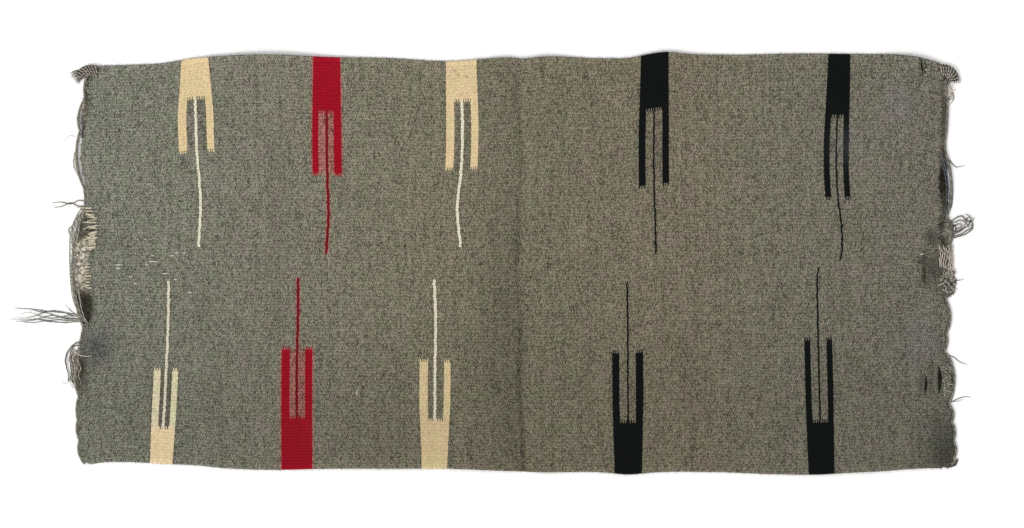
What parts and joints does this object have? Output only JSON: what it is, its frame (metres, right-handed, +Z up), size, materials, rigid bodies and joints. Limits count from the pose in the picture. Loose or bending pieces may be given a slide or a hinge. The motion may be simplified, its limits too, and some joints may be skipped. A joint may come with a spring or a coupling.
{
  "type": "saddle blanket",
  "caption": "Flat double saddle blanket in weft-faced wool with woven-in pronged bars, worn corded ends and corner tassels.",
  "frame": {"origin": "on the surface it lies on, under the middle of the blanket's whole outline, fringe included", "axes": "+X along the warp, the long way, towards the less worn end; +Y across it; +Z up, out of the face that shows"},
  "size_m": [1.6476, 0.7222, 0.009],
  "materials": {
    "wool_web": "matte weft-faced wool, heathered grey",
    "wool_cord": "matte plied wool yarn"
  },
  "bodies": {
    "root": {"woven_web": "wool_web", "left_end_cord": "wool_cord", "right_end_cord": "wool_cord", "upper_left_tassel": "wool_cord", "upper_right_tassel": "wool_cord"}
  },
  "joints": []
}
